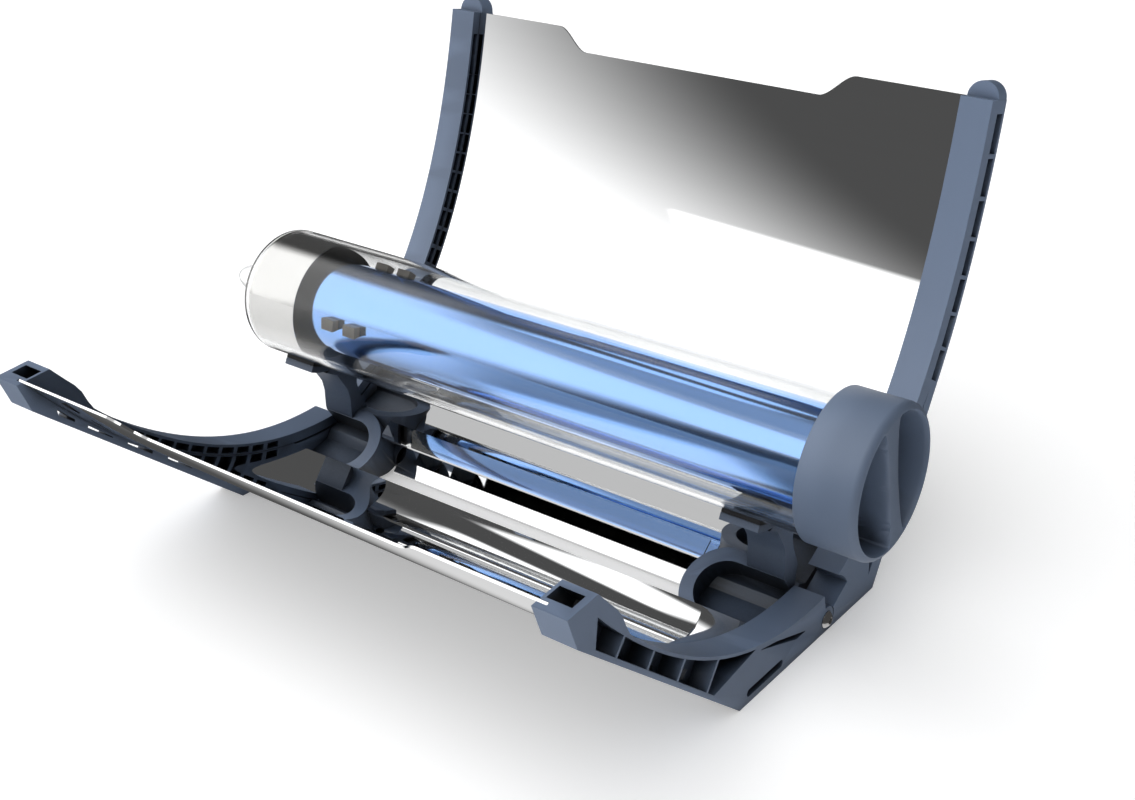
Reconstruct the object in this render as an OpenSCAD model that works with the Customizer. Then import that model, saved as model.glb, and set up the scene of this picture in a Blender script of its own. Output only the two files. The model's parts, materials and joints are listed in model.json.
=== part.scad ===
/* [Reflectors] */
// Focal length of each trough mirror, from its curve to the tube's centre line
focal_len = 75; // [68:1:84]
// Angle that each mirror's axis leans out from the line between the two mirrors
lean_angle = 17.5; // [15:0.5:20]
// Angle of the line from the hinge to the tube, measured from the back
upright_angle = 103.6; // [100:0.2:106]
// Distance from the hinge line to the tube's centre line
tube_reach = 84.5; // [82:0.5:92]
// Width of the front mirror across its curve, from its deepest line
front_w = 150; // [120:1:165]
// Width of the rear mirror across its curve, from its deepest line
rear_w = 170.8; // [140:1:190]
// Thickness of the polished sheet
sheet_t = 1; // [0.6:0.1:1.2]
// Length of the hand notch at the free edge of each mirror
notch_len = 160; // [100:1:200]
// Depth of the hand notch
notch_deep = 10.5; // [5:0.5:16]
// Length of the sloping end of the hand notch
notch_slope = 17; // [8:1:30]

/* [Arms] */
// Distance over the outer faces of the two arms
arm_span = 287.5; // [240:1:330]
// Width of one arm along the tube
arm_w = 14; // [13:0.5:20]
// Height of the arm's front face above the mirror
face_h = 5; // [4:0.5:8]
// Depth of the rear arm behind its mirror
back_deep = 10; // [7:0.5:16]
// Height of the hinge line above the ground
hinge_h = 6; // [5.5:0.1:9]
// Distance from the hinge line forward to the front foot's corner
front_foot = 66.2; // [50:1:75]
// Distance from the hinge line back to the rear foot's corner
rear_foot = 41.2; // [34:1:55]
// Extra height of the hump at the front arm's nose
hump_h = 4.5; // [2:0.5:7]
// Length of the hump along the nose
hump_len = 24; // [14:1:36]
// Depth of the nose's end face
nose_deep = 14.4; // [8:0.5:20]
// Distance from one moulded pocket to the next along the mirror edge
pocket_pitch = 9.7; // [8:0.1:16]
// Thickness of the ribs between the moulded pockets
rib_t = 1.3; // [1:0.1:2.5]
// Thickness of the rim under the front arm's recesses
low_rim = 2; // [1.4:0.2:3]
// Depth of the recesses in the arms' outer sides
recess_deep = 8.5; // [5:0.5:9]
// Width of the border round the foot's recesses
rim_t = 3.8; // [2:0.2:5]
// Angle through which the front half folds up
fold_angle = 70; // [40:1:72]

/* [Hinge] */
// Diameter of the hinge screws
screw_d = 4; // [3:0.5:5]
// Diameter of the hinge screw's button head
head_d = 7.6; // [6:0.2:9]
// Height of the button head
head_h = 2.2; // [1.5:0.1:3]
// Radius of the arm's eye round the hinge screw
eye_r = 5.7; // [5:0.1:6]
// Thickness of the washers between the eyes
washer_t = 0.8; // [0.4:0.1:1.2]
// Thickness of the nut on each hinge screw
nut_t = 3.2; // [2:0.2:5]
// Width of the nut across its flats
nut_w = 7; // [5.5:0.5:8]

/* [Cradle] */
// Length of the hub beside each arm
hub_len = 41; // [30:1:60]
// Half width of the hub across the hinge
hub_half = 30; // [26:0.5:30.5]
// Height of the hub's ridge above the hinge line
hub_top = 21.6; // [20:0.2:24]
// Slope of the hub's two roof faces
roof_angle = 21.6; // [16:0.2:26]
// Radius of the hub's rounded end
hub_round = 19; // [16:0.5:20]
// Width of the rim round the hollow in each roof face
hub_rim = 6.2; // [4:0.2:8]
// Thickness of the hub's bottom under the hollows
hub_wall = 2; // [1.4:0.1:2.6]
// Width of the post that carries the tube, along the tube
post_w = 17.5; // [10:0.5:26]
// Half width of the post at its waist
waist_half = 3.2; // [2:0.2:6]
// Thickness of the saddle under the tube
saddle_t = 3; // [2:0.2:5]
// Thickness of the soft pad between saddle and tube
pad_t = 2; // [1:0.2:3]
// Half angle of the saddle round the tube
saddle_angle = 38; // [25:1:42]

/* [Tube] */
// Outside diameter of the outer glass
tube_d = 58; // [48:0.5:64]
// Wall of the outer glass
glass_t = 2.2; // [1.6:0.1:3]
// Outside diameter of the coated inner glass
absorber_d = 42; // [34:0.5:47]
// Wall of the coated inner glass
absorber_t = 1.6; // [1.2:0.1:2.2]
// Distance that the tube's domed end stands out past the left arm
dome_over = 2; // [0:0.5:20]
// Length of the domed end
dome_len = 12; // [8:0.5:20]
// Length of the sealed glass tip
tip_len = 24.2; // [12:0.5:30]
// Diameter of the glass tip at its root
tip_d = 17; // [10:0.5:22]
// Length of the silvered band, from the dome's end
silver_len = 39.9; // [25:0.5:60]
// Distance from the silvered band's edge to the spring clip
clip_gap = 9; // [2:0.5:30]
// Length of the spring clip that centres the inner glass
clip_len = 8; // [5:0.5:15]

/* [Cap and tray] */
// Outside diameter of the cap
cap_d = 61.6; // [60.5:0.2:70]
// Length of the cap
cap_len = 25.1; // [20:0.5:40]
// Distance from the right arm's outer face to the cap
cap_gap = 7.4; // [4:0.2:20]
// Length of the cap's skirt over the glass
cap_cover = 8.6; // [5:0.2:14]
// Depth of the two finger pockets in the cap
finger_deep = 13; // [6:0.5:13]
// Width of the grip bar between the finger pockets
grip_w = 9; // [6:0.5:14]
// Thickness of the wall round the finger pockets
cap_wall = 3.2; // [2:0.2:6]
// Length of the plug inside the inner glass
plug_len = 26; // [15:1:40]
// Free length between the cooking tray and the inner glass's closed end
tray_free = 38.8; // [15:0.2:120]
// Thickness of the tray's sheet
tray_t = 0.8; // [0.5:0.1:1.5]
// Diameter of the rod that carries the tray
rod_d = 5; // [3:0.5:8]

/* [Hidden] */

// Overrun of every cut
over = 1;
// Running clearance round the hinge screws
run_gap = 0.05;
// Clearance between neighbouring pieces that don't slide
seat_gap = 0.1;
// Clearance between an eye and the arm beside it
eye_gap = 0.5;
// Angle kept free between the halves when they are folded
fold_gap = 2;
// Number of straight steps in one mirror curve
curve_steps = 44;
$fn = 64;

arm_out = arm_span / 2;
arm_in = arm_out - arm_w;
front_axis = upright_angle - lean_angle;
rear_axis = upright_angle + lean_angle;
hinge = [0, hinge_h];
upright = [cos(upright_angle), sin(upright_angle)];
across = [sin(upright_angle), -cos(upright_angle)];
tube_c = hinge + tube_reach * upright;
tube_r = tube_d / 2;
bore_r = absorber_d / 2 - absorber_t;
far = front_w + rear_w;
// Width from a mirror's deepest line to the line where the two mirror curves cross
past_w = 2 * focal_len * tan(lean_angle / 2);
// Radius round the hinge within which the halves are cut back to fold freely
turn_r = 3 * hinge_h + over;
slot_share = 0.7;
slot_deep = (arm_w - recess_deep) * slot_share;
skin_t = rib_t;
pocket_deep = arm_w - recess_deep - rib_t / 2;
// Layers of the two eyes on one hinge screw
layer_gap = washer_t + 2 * seat_gap;
outer_layer = arm_in + (arm_w + layer_gap) / 2;
inner_layer = outer_layer - layer_gap;
hub_out = arm_in - layer_gap;
hub_in = hub_out - hub_len;
ridge_lap = 0.5;
ridge_blunt = 0.2;
ridge_top = hub_top + ridge_blunt;
hub_clear = 1.5;
hub_reach = norm([hub_half, ridge_top - hub_half * tan(roof_angle)]) + hub_clear;

// Places along the tube
dome_x = -arm_out - dome_over;
tip_x = dome_x - tip_len;
silver_x = dome_x + silver_len;
cap_x = arm_out + cap_gap;
cap_face_x = cap_x + cap_len;
mouth_x = cap_x + cap_cover;
lip_t = glass_t;
absorber_x = dome_x + dome_len + glass_t;
clip_x = silver_x + clip_gap;
plug_x = mouth_x - plug_len;
rod_free = plug_len;
tray_end_x = plug_x - rod_free;
absorber_start = absorber_x + absorber_d / 4;
tray_x = absorber_start + tray_free;

// A point of a mirror curve: u is the width from its deepest line
function axis_dir(ax) = [cos(ax), sin(ax)];
function cross_dir(ax) = [sin(ax), -cos(ax)];
function curve_pt(u, ax) = tube_c - focal_len * axis_dir(ax)
    + u * cross_dir(ax) + u * u / (4 * focal_len) * axis_dir(ax);
// The direction square to a mirror curve, towards the tube
function inward(u, ax) = let (v = axis_dir(ax) - u / (2 * focal_len) * cross_dir(ax)) v / norm(v);
function off_pt(u, ax, off) = curve_pt(u, ax) + off * inward(u, ax);
function off_curve(u0, u1, ax, off) =
    [for (i = [0:curve_steps]) off_pt(u0 + (u1 - u0) * i / curve_steps, ax, off)];
// Equal steps of length s along a curve, from width u to width end
function walk(u, end, s) =
    u > end ? [] : concat([u], walk(u + s / sqrt(1 + pow(u / (2 * focal_len), 2)), end, s));
// A strip that follows a curve, between two offsets
function strip(u0, u1, ax, off0, off1) = concat(off_curve(u0, u1, ax, off0), off_curve(u1, u0, ax, off1));
// A wedge that opens from the hinge between two angles
function wedge(a0, a1) = concat([hinge], [for (i = [0:4]) let (a = a0 + (a1 - a0) * i / 4)
    hinge + 2 * far * [cos(a), sin(a)]]);

front_u = -front_w;
rear_u = rear_w;
half_fold = (fold_angle + fold_gap) / 2;

// Smooth rise from 0 to 1 as t goes from 0 to 1
function ease(t) = let (c = min(1, max(0, t))) c * c * (3 - 2 * c);

// The nose of the front arm
nose_over = face_h / 3;
nose_share = 0.36;
nose_u = front_u + face_h;
nose_top = off_pt(front_u - nose_over, front_axis, -2 * nose_over);
nose_low = nose_top + nose_deep * [nose_share, -sqrt(1 - nose_share * nose_share)];
front_low = [-front_foot, 0];
// The rear arm's outline leaves the back curve for the foot at this width
knee_share = 0.47;
knee_u = rear_w * knee_share;
rear_low = [rear_foot, 0];

front_outline = concat(
    [for (i = [0:curve_steps]) let (u = past_w + (nose_u - past_w) * i / curve_steps)
        off_pt(u, front_axis, face_h + hump_h * ease(((nose_u + hump_len) - u) / (hump_len / 2)))],
    [nose_top, nose_low, front_low, [past_w, 0]]);
rear_outline = concat(off_curve(rear_u, -past_w, rear_axis, face_h),
    [[0, 0], rear_low], off_curve(knee_u, rear_u, rear_axis, -back_deep));

// The whole part is centred over its own footprint
function ys(points) = [for (p = points) p[0]];
centre_x = (tip_x + cap_face_x) / 2;
dome_r = arm_w / 2 - seat_gap;
back_y = max(ys(rear_outline));
nose_y = min(ys(front_outline));
centre_y = (back_y + nose_y) / 2;

module place() translate([-centre_x, -centre_y, 0]) children();
// An outline drawn in the plane across the tube, given its length along the tube
module along(x0, x1) translate([x0, 0, 0]) rotate([90, 0, 90]) linear_extrude(x1 - x0) children();
module disc_x(x0, x1, c, r) translate([x0, c[0], c[1]]) rotate([0, 90, 0]) cylinder(h = x1 - x0, r = r);
// A turned shape round the tube's centre line: its points are [place along the tube, radius]
module turned(points) translate([0, tube_c[0], tube_c[1]]) rotate([0, 90, 0])
    rotate_extrude() polygon([for (p = points) [p[1], p[0]]]);
module right_to(side) mirror([side < 0 ? 1 : 0, 0, 0]) children();

// A row of square pockets that open to the inner side, between the face and the mirror
module inner_pockets(u0, u1, ax) {
    for (u = walk(u0, u1, pocket_pitch))
        along(arm_in - over, arm_in + pocket_deep)
            polygon([off_pt(u, ax, rib_t / 2), off_pt(u + pocket_pitch * open_share, ax, rib_t / 2),
                off_pt(u + pocket_pitch * open_share, ax, face_h - skin_t),
                off_pt(u, ax, face_h - skin_t)]);
}
open_share = 0.72;
// Width from a mirror's deepest line to its first pocket
pocket_from = 15;

// The groove that holds the mirror's end edge
module mirror_slot(u0, u1, ax) {
    along(arm_in - over, arm_in + slot_deep + seat_gap)
        polygon(strip(u0, u1, ax, seat_gap, -sheet_t - seat_gap));
}

// A straight rib in an arm's side, from point a to point b
module rib(a, b) {
    d = (b - a) / norm(b - a);
    s = [-d[1], d[0]] * rib_t / 2;
    polygon([a - s, b - s, b + s, a + s]);
}

low_dir = (front_low - nose_low) / norm(front_low - nose_low);
rim_in = low_rim * [-low_dir[1], low_dir[0]];
// Places of the front arm's ribs: along the lower edge, and along the mirror curve
rib_foot_shares = [0.19, 0.37, 0.555, 0.753];
rib_top_shares = [0.83, 0.705, 0.567, 0.407];
brace_foot_share = 0.8;
brace_top_share = 0.22;
function low_pt(s) = nose_low + s * (front_low - nose_low);

// The recessed field in the front arm's outer side
module front_field() {
    difference() {
        polygon(concat(off_curve(nose_u + hump_h, front_u * brace_top_share, front_axis, face_h - skin_t),
            [low_pt(brace_foot_share) + rim_in, low_pt(brace_foot_share / 10) + rim_in]));
        for (i = [0:len(rib_foot_shares) - 1])
            rib(low_pt(rib_foot_shares[i]), off_pt(front_u * rib_top_shares[i], front_axis, face_h));
        circle_free();
    }
}
// The boss round the hinge screw that the recesses leave whole
module circle_free() {
    translate(hinge) circle(eye_r + rim_t);
}
// The small field behind the brace, and the long oval in the foot
module foot_field() {
    polygon([off_pt(front_u * brace_top_share + rim_t, front_axis, face_h - 2 * skin_t),
        off_pt(front_u * brace_top_share / 2, front_axis, face_h - 2 * skin_t),
        [-eye_r - 3 * rim_t, hinge_h + rim_t],
        [-eye_r - 5 * rim_t, hinge_h + rim_t]]);
}
oval_share = 0.45;
oval_end_shares = [0.9, 0.55];
module foot_oval() {
    hull() for (s = oval_end_shares)
        translate([-front_foot * s, hinge_h - rib_t]) circle(rim_t * oval_share, $fn = 32);
}

window_share = 0.62;
// See-through windows in the first recesses of the front arm
module front_windows() {
    for (i = [0:len(rib_foot_shares) - 1]) {
        low = i == 0 ? low_pt(brace_foot_share / 10) : low_pt(rib_foot_shares[i - 1]);
        high_share = i == 0 ? 1 - hump_len / front_w / 2 : rib_top_shares[i - 1];
        a = low + rim_in;
        b = low_pt(rib_foot_shares[i]) + rim_in;
        c = off_pt(front_u * rib_top_shares[i], front_axis, -sheet_t - rib_t);
        d = off_pt(front_u * high_share, front_axis, -sheet_t - rib_t);
        m = (a + b + c + d) / 4;
        polygon([for (p = [a, b, c, d]) m + (p - m) * window_share]);
    }
}
// The room near the hinge that the other half needs when it folds
module turn_cut(a0, a1) {
    intersection() {
        translate(hinge) circle(turn_r);
        polygon(wedge(a0, a1));
    }
}

module front_arm() {
    difference() {
        along(arm_in, arm_out) intersection() {
            polygon(front_outline);
            polygon(wedge(upright_angle, upright_angle + 180 - fold_gap));
        }
        disc_x(arm_in - over, outer_layer, hinge, eye_r + eye_gap);
        mirror_slot(front_u - over, past_w, front_axis);
        inner_pockets(front_u + hump_len, -pocket_from, front_axis);
        along(arm_out - recess_deep, arm_out + over) {
            front_field();
            foot_field();
            foot_oval();
        }
        along(arm_in - over, arm_out + over) front_windows();
        nose_pocket();
        disc_x(arm_in - over, arm_out + over, hinge, screw_d / 2 + run_gap);
    }
    difference() {
        disc_x(outer_layer, arm_out, hinge, eye_r);
        disc_x(outer_layer - over, arm_out + over, hinge, screw_d / 2 + run_gap);
    }
}
// The hollow in the nose, open at its end
module nose_pocket() {
    along(arm_in + rib_t, arm_out - rib_t * 2) polygon([
        off_pt(front_u - 4 * over, front_axis, rib_t),
        off_pt(nose_u + hump_len / 3, front_axis, rib_t),
        off_pt(nose_u + hump_len / 3, front_axis, face_h + hump_h - 2 * skin_t),
        off_pt(front_u - 4 * over, front_axis, face_h + hump_h - 2 * skin_t)]);
}

// The recesses between the ribs on the rear arm's outer side
rear_bays = 7;
// One bay between two ribs, from width u0 to width u1 behind the mirror
module rear_bay(u0, u1) {
    polygon([off_pt(u0, rear_axis, -sheet_t - rib_t), off_pt(u1, rear_axis, -sheet_t - rib_t),
        off_pt(u1, rear_axis, rib_t * 1.5 - back_deep), off_pt(u0, rear_axis, rib_t * 1.5 - back_deep)]);
}
module rear_bays_2d() {
    step = (rear_u - rim_t - knee_u) / rear_bays;
    for (i = [0:rear_bays - 1]) rear_bay(knee_u + i * step + rib_t, knee_u + (i + 1) * step);
}
// The three-sided recesses over the rear foot
module rear_triangles() {
    top = off_pt(knee_u - rib_t, rear_axis, -sheet_t - rib_t * 2);
    mid = off_pt(knee_u * mid_share, rear_axis, -sheet_t - rib_t * 2);
    low = off_pt(knee_u * low_share, rear_axis, -sheet_t - rib_t * 2);
    foot = rear_low + [-rim_t, rim_t * 2];
    polygon([top, mid + [rib_t, 0], foot + [rib_t * 2, rim_t * 1.5]]);
    polygon([mid - [0, rib_t], low, foot + [-rib_t, rib_t]]);
}
mid_share = 0.62;
low_share = 0.2;

module rear_arm() {
    difference() {
        union() {
            along(arm_in, arm_out) difference() {
                polygon(rear_outline);
                turn_cut(upright_angle - fold_angle - fold_gap, upright_angle + fold_angle);
            }
            rear_dome();
        }
        disc_x(outer_layer - layer_gap, arm_out + over, hinge, eye_r + eye_gap);
        mirror_slot(-past_w, rear_u + over, rear_axis);
        inner_pockets(pocket_from, rear_u - pocket_pitch, rear_axis);
        along(arm_out - recess_deep, arm_out + over) {
            rear_bays_2d();
            rear_triangles();
        }
        disc_x(arm_in - over, arm_out + over, hinge, screw_d / 2 + run_gap);
    }
    difference() {
        disc_x(arm_in, inner_layer, hinge, eye_r);
        disc_x(arm_in - over, inner_layer + over, hinge, screw_d / 2 + run_gap);
    }
}
// The rounded head that stands up behind the rear mirror's top corner
dome_sink = 0.3;
module rear_dome() {
    n = inward(rear_u, rear_axis);
    p = off_pt(rear_u, rear_axis, -back_deep);
    translate([arm_in + arm_w / 2, p[0], p[1]])
        rotate([-atan2(n[0], n[1]), 0, 0])
            translate([0, 0, dome_sink]) cylinder(h = back_deep - sheet_t - 2 * dome_sink, r = dome_r);
}

// The hand notch: a shape across the mirror's free edge, drawn in the sheet's own plane
module notch_cut(u, ax, side) {
    n = inward(u, ax);
    p = curve_pt(u, ax);
    half = notch_len / 2;
    steps = 10;
    slope_pts = [for (i = [0:steps]) [-half + notch_slope * i / steps, -notch_deep * ease(i / steps)]];
    pts = concat([[-half, notch_deep]], slope_pts,
        [for (i = [steps:-1:0]) [-slope_pts[i][0], slope_pts[i][1]]], [[half, notch_deep]]);
    translate([0, p[0], p[1]]) rotate([-atan2(n[0], n[1]), 0, 0]) translate([0, 0, -notch_deep])
        linear_extrude(2 * notch_deep) scale([1, side, 1]) polygon(pts);
}

module reflector(u0, u1, ax, edge, side) {
    difference() {
        along(-arm_in - slot_deep, arm_in + slot_deep) polygon(strip(u0, u1, ax, 0, -sheet_t));
        for (s = [-1, 1]) right_to(s) hub_clearance();
        notch_cut(edge, ax, side);
        along(-arm_out, arm_out) turn_cut(upright_angle - half_fold, upright_angle + half_fold);
    }
}
// The corner that each mirror leaves free for the hub and the arm's eye
module hub_clearance() disc_x(hub_in - hub_clear, arm_out, hinge, hub_reach);

module left_side() mirror([1, 0, 0]) children();

module rear_right_arm() color("slategray") place() rear_arm();
module rear_left_arm() color("slategray") place() left_side() rear_arm();
module front_right_arm() color("lightslategray") place() front_arm();
module front_left_arm() color("lightslategray") place() left_side() front_arm();
module rear_reflector() color("silver") place() reflector(-past_w, rear_u, rear_axis, rear_u, 1);
module front_reflector() color("gainsboro") place() reflector(front_u, past_w, front_axis, front_u, -1);

// A point beside the line from hinge to tube: u across it, d along it
function up_pt(u, d) = hinge + u * across + d * upright;
saddle_r = tube_r + pad_t + saddle_t;
post_top = tube_reach - tube_r - pad_t - saddle_t / 2;
// The hub's underside: its low corners at the front and the back, and its flat foot
front_low_d = 2.5;
rear_low_d = 7;
foot_half = 12;
foot_low = -1;
// The hump that the hollows leave over the screw and its nut
hump_half = 6;
hump_top = 8;
// The post from its foot on the ridge, through its waist, to the saddle: half widths and heights
ridge_half = hub_rim * cos(roof_angle) - rib_t / 2;
waist_low = hub_top * 1.4;
waist_high = hub_top * 1.65;
flare_d = post_top * 0.9;
half_waist = [[ridge_half, hub_top - hub_rim], [ridge_half, hub_top], [waist_half, waist_low],
    [waist_half, waist_high], [waist_half * 2.2, flare_d], [waist_half * 4, post_top]];

module cradle() {
    difference() {
        union() {
            for (s = [-1, 1]) hub_side(s);
            along(hub_out - post_w, hub_out) polygon(concat([for (p = half_waist) up_pt(p[0], p[1])],
                [for (i = [len(half_waist) - 1:-1:0]) up_pt(-half_waist[i][0], half_waist[i][1])]));
            disc_x(hub_in, hub_out, hinge, eye_r);
            saddle(tube_r + pad_t, saddle_r);
        }
        disc_x(hub_in - over, hub_out + over, hinge, screw_d / 2 + run_gap);
        nut_room();
        for (s = [-1, 1]) hub_hollow(s);
        disc_x(hub_out - post_w - over, hub_out + over, tube_c, tube_r + pad_t);
    }
}
// A roof face of the hub: its own plane, with y down or up the slope and z outwards
module on_roof(side) {
    ridge = up_pt(0, ridge_top);
    translate([0, ridge[0], ridge[1]]) rotate([upright_angle - 90 - side * roof_angle, 0, 0]) children();
}
// The hub's outline on a roof face, rounded towards the oven's middle
module roof_outline(side, r, end_x) {
    centre = [hub_in + hub_round, side * (hub_round - ridge_lap)];
    translate(centre) circle(r);
    translate([centre[0], centre[1] - r]) square([end_x - centre[0], 2 * r]);
}
module hub_side(side) {
    intersection() {
        on_roof(side) translate([0, 0, -hub_reach])
            linear_extrude(hub_reach) roof_outline(side, hub_round, hub_out + over);
        over_line(hub_in - over, hub_out, [[-hub_half, front_low_d], [-foot_half, foot_low],
            [foot_half, foot_low], [hub_half, rear_low_d]]);
    }
}
// All that lies above a line of points [across, up] beside the hinge
module over_line(x0, x1, points) {
    along(x0, x1) polygon(concat([for (p = points) up_pt(p[0], p[1])],
        [up_pt(points[len(points) - 1][0], hub_top), up_pt(points[0][0], hub_top)]));
}
// The hollow in a roof face, open at the arm's side
module hub_hollow(side) {
    intersection() {
        on_roof(side) translate([0, 0, -hub_reach])
            linear_extrude(hub_reach + over) roof_outline(side, hub_round - hub_rim, hub_out + over);
        over_line(hub_in - over, hub_out + 2 * over, [[-hub_half, front_low_d + hub_wall],
            [hub_wall - foot_half, front_low_d + hub_wall], [-hump_half, hump_top], [hump_half, hump_top],
            [foot_half - hub_wall, rear_low_d - hub_wall], [hub_half, rear_low_d + hub_wall]]);
    }
}
// A curved seat round the underside of the tube, between two radii
module saddle(r0, r1) {
    intersection() {
        difference() {
            disc_x(hub_out - post_w, hub_out, tube_c, r1);
            disc_x(hub_out - post_w - over, hub_out + over, tube_c, r0);
        }
        along(hub_out - post_w - over, hub_out + over)
            polygon([tube_c, tube_c + 2 * r1 * seat_dir(-saddle_angle), tube_c + 2 * r1 * seat_dir(0),
                tube_c + 2 * r1 * seat_dir(saddle_angle)]);
    }
}
function seat_dir(a) = [cos(upright_angle + 180 + a), sin(upright_angle + 180 + a)];
// Room for the nut on the screw's inner end
nut_share = 0.75;
module nut_room() {
    disc_x(hub_in - over, hub_out - post_w / 2, hinge, nut_w * nut_share);
}
module left_cradle() color("slategray") place() left_side() cradle();
module right_cradle() color("slategray") place() cradle();
module tube_pad() saddle(tube_r + seat_gap, tube_r + pad_t - seat_gap);
module right_tube_pad() color("dimgray") place() tube_pad();
module left_tube_pad() color("dimgray") place() left_side() tube_pad();

socket_r = screw_d * 0.36;
screw_end = hub_out - post_w / 2 - nut_t - screw_d / 2;
module hinge_screw() {
    difference() {
        union() {
            disc_x(screw_end, arm_out + seat_gap, hinge, screw_d / 2);
            translate([arm_out + seat_gap, hinge[0], hinge[1]]) rotate([0, 90, 0]) intersection() {
                cylinder(h = head_h, r = head_d / 2);
                translate([0, 0, -head_sphere + head_h]) sphere(head_sphere);
            }
        }
        translate([arm_out + seat_gap + head_h * 0.35, hinge[0], hinge[1]]) rotate([0, 90, 0])
            cylinder(h = head_h, r = socket_r, $fn = 6);
    }
}
head_sphere = (head_d * head_d / 4 + head_h * head_h) / (2 * head_h);
module hinge_screws() color("silver") place() for (s = [-1, 1]) right_to(s) hinge_screw();
module hinge_nuts() color("gray") place() for (s = [-1, 1]) right_to(s) difference() {
    translate([hub_out - post_w / 2 - nut_t - seat_gap, hinge[0], hinge[1]]) rotate([0, 90, 0])
        cylinder(h = nut_t, r = nut_w / sqrt(3), $fn = 6);
    disc_x(screw_end - over, hub_out, hinge, screw_d / 2 + run_gap);
}
module hinge_washers() color("gray") place() for (s = [-1, 1], x = [inner_layer, hub_out]) right_to(s)
    difference() {
        disc_x(x + seat_gap, x + seat_gap + washer_t, hinge, eye_r - run_gap);
        disc_x(x, x + layer_gap, hinge, screw_d / 2 + run_gap);
    }

// Points of a quarter oval from radius r at place x0 to radius 0 at place x1
function dome_pts(x0, x1, r, n) =
    [for (i = [0:n]) let (a = 90 * i / n) [x0 + (x1 - x0) * sin(a), r * cos(a)]];
dome_steps = 12;
dome_start = dome_x + dome_len;
tip_r = tip_d / 2;

module outer_glass() color("azure") place() turned(concat(
    [[mouth_x - lip_t, tube_r]],
    [for (p = dome_pts(dome_start, dome_x, tube_r, dome_steps)) if (p[1] > tip_r) p],
    [for (p = dome_pts(dome_x + glass_t, tip_x, tip_r, dome_steps)) p],
    [for (i = [dome_steps:-1:0]) dome_pts(dome_start, dome_x + glass_t, tube_r - glass_t, dome_steps)[i]],
    [[mouth_x - lip_t, tube_r - glass_t]]));

silver_t = 0.4;
module silvered_band() color("silver") place() turned(concat(
    dome_pts(dome_start, dome_x + glass_t + seat_gap, tube_r - glass_t - seat_gap, dome_steps),
    [for (i = [dome_steps:-1:0])
        dome_pts(dome_start, dome_x + glass_t + seat_gap + silver_t,
            tube_r - glass_t - seat_gap - silver_t, dome_steps)[i]],
    [[silver_x, tube_r - glass_t - seat_gap - silver_t], [silver_x, tube_r - glass_t - seat_gap]]));

module absorber_glass() color("royalblue") place() turned(concat(
    [[mouth_x - lip_t, absorber_d / 2]],
    dome_pts(absorber_start, absorber_x, absorber_d / 2, dome_steps),
    [for (i = [dome_steps:-1:0])
        dome_pts(absorber_start, absorber_x + absorber_t, bore_r, dome_steps)[i]],
    [[mouth_x, bore_r], [mouth_x, tube_r], [mouth_x - lip_t, tube_r]]));

clip_t = 0.5;
module spring_clip() color("gray") place() {
    difference() {
        disc_x(clip_x, clip_x + clip_len, tube_c, absorber_d / 2 + seat_gap + clip_t);
        disc_x(clip_x - over, clip_x + clip_len + over, tube_c, absorber_d / 2 + seat_gap);
    }
    leg_in = clip_len / 8;
    leg_r0 = absorber_d / 2 + seat_gap + clip_t / 2;
    leg_r1 = tube_r - glass_t - seat_gap;
    for (a = [50, 170, 290]) translate([clip_x, tube_c[0], tube_c[1]]) rotate([a, 0, 0])
        translate([leg_in, -clip_t / 2, leg_r0]) cube([clip_len - 2 * leg_in, clip_t, leg_r1 - leg_r0]);
}

cap_r = cap_d / 2;
cap_round = cap_wall;
finger_r = cap_r - cap_wall;
module cap() color("slategray") place() difference() {
    turned(concat([[cap_x, tube_r + seat_gap], [cap_x, cap_r]],
        [for (i = [0:6]) let (a = 15 * i)
            [cap_face_x - cap_round + cap_round * sin(a), cap_r - cap_round + cap_round * cos(a)]],
        [[cap_face_x, 0], [mouth_x + seat_gap, 0], [mouth_x + seat_gap, tube_r + seat_gap]]));
    for (s = [-1, 1]) finger_pocket(s);
}
// One of the two hollows beside the grip bar
module finger_pocket(s) intersection() {
    disc_x(cap_face_x - finger_deep, cap_face_x + over, tube_c, finger_r);
    translate([0, tube_c[0], tube_c[1]]) rotate([upright_angle - 90, 0, 0])
        translate([cap_face_x - finger_deep - over, s * (finger_r + grip_w / 2) - finger_r, -finger_r])
            cube([finger_deep + 3 * over, 2 * finger_r, 2 * finger_r]);
}

plug_gap = 0.4;
disc_t = tray_t;
module plug() color("dimgray") place() difference() {
    disc_x(plug_x, mouth_x, tube_c, bore_r - plug_gap);
    disc_x(plug_x - over, plug_x + rod_sunk, tube_c, rod_d / 2 + run_gap);
}
module plug_disc() color("silver") place() difference() {
    disc_x(plug_x - disc_t, plug_x, tube_c, bore_r - 2 * plug_gap);
    disc_x(plug_x - disc_t - over, plug_x + over, tube_c, rod_d / 2 + run_gap);
}
rod_sunk = rod_d * 2;
module tray_rod() color("silver") place()
    disc_x(tray_end_x - nut_t - 2 * disc_t, plug_x + rod_sunk, tube_c, rod_d / 2);
module rod_nut() color("gray") place() difference() {
    translate([tray_end_x - nut_t - tray_t - seat_gap, tube_c[0], tube_c[1]]) rotate([0, 90, 0])
        cylinder(h = nut_t, r = nut_w / sqrt(3), $fn = 6);
    disc_x(tray_end_x - 2 * nut_t - tray_t - seat_gap, tray_end_x, tube_c, rod_d / 2 + run_gap);
}

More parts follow.
